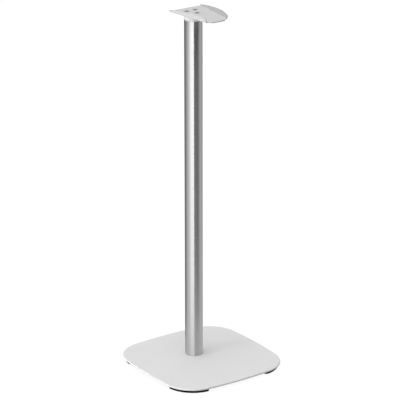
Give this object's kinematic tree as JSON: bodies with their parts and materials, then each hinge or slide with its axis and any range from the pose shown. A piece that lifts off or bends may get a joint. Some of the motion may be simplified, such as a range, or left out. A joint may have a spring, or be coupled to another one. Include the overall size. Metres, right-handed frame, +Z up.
{
  "type": "speaker stand",
  "caption": "Floor stand for one loudspeaker: rounded-square steel plate on corner feet, round aluminium column and a bent sheet bracket with arched side wings.",
  "frame": {"origin": "on the floor, under the centre of the base plate", "axes": "+Z up along the column, -Y to the front (the way that the bracket reaches out), +X to the right seen from the front"},
  "size_m": [0.3, 0.3, 0.8176],
  "materials": {
    "powder_coat": "white powder coat, fine texture, satin",
    "bracket_powder_coat": "white powder coat, fine texture, satin, a shade greyer than the plate's",
    "foot_rubber": "black moulded rubber, matt",
    "column_aluminium": "satin anodised extrusion, fine lines round it from a belt",
    "collar_moulding": "white moulded plastic, semi-gloss",
    "screw_steel": "bright zinc plate"
  },
  "bodies": {
    "root": {"base_plate": "powder_coat", "corner_foot_front_left": "foot_rubber", "corner_foot_front_right": "foot_rubber", "corner_foot_rear_left": "foot_rubber", "corner_foot_rear_right": "foot_rubber", "column_tube": "column_aluminium", "top_collar": "collar_moulding", "speaker_bracket": "bracket_powder_coat", "bracket_screw_front": "screw_steel", "bracket_screw_rear_right": "screw_steel", "bracket_screw_rear_left": "screw_steel", "base_screw_front": "screw_steel", "base_screw_rear_right": "screw_steel", "base_screw_rear_left": "screw_steel"}
  },
  "joints": []
}
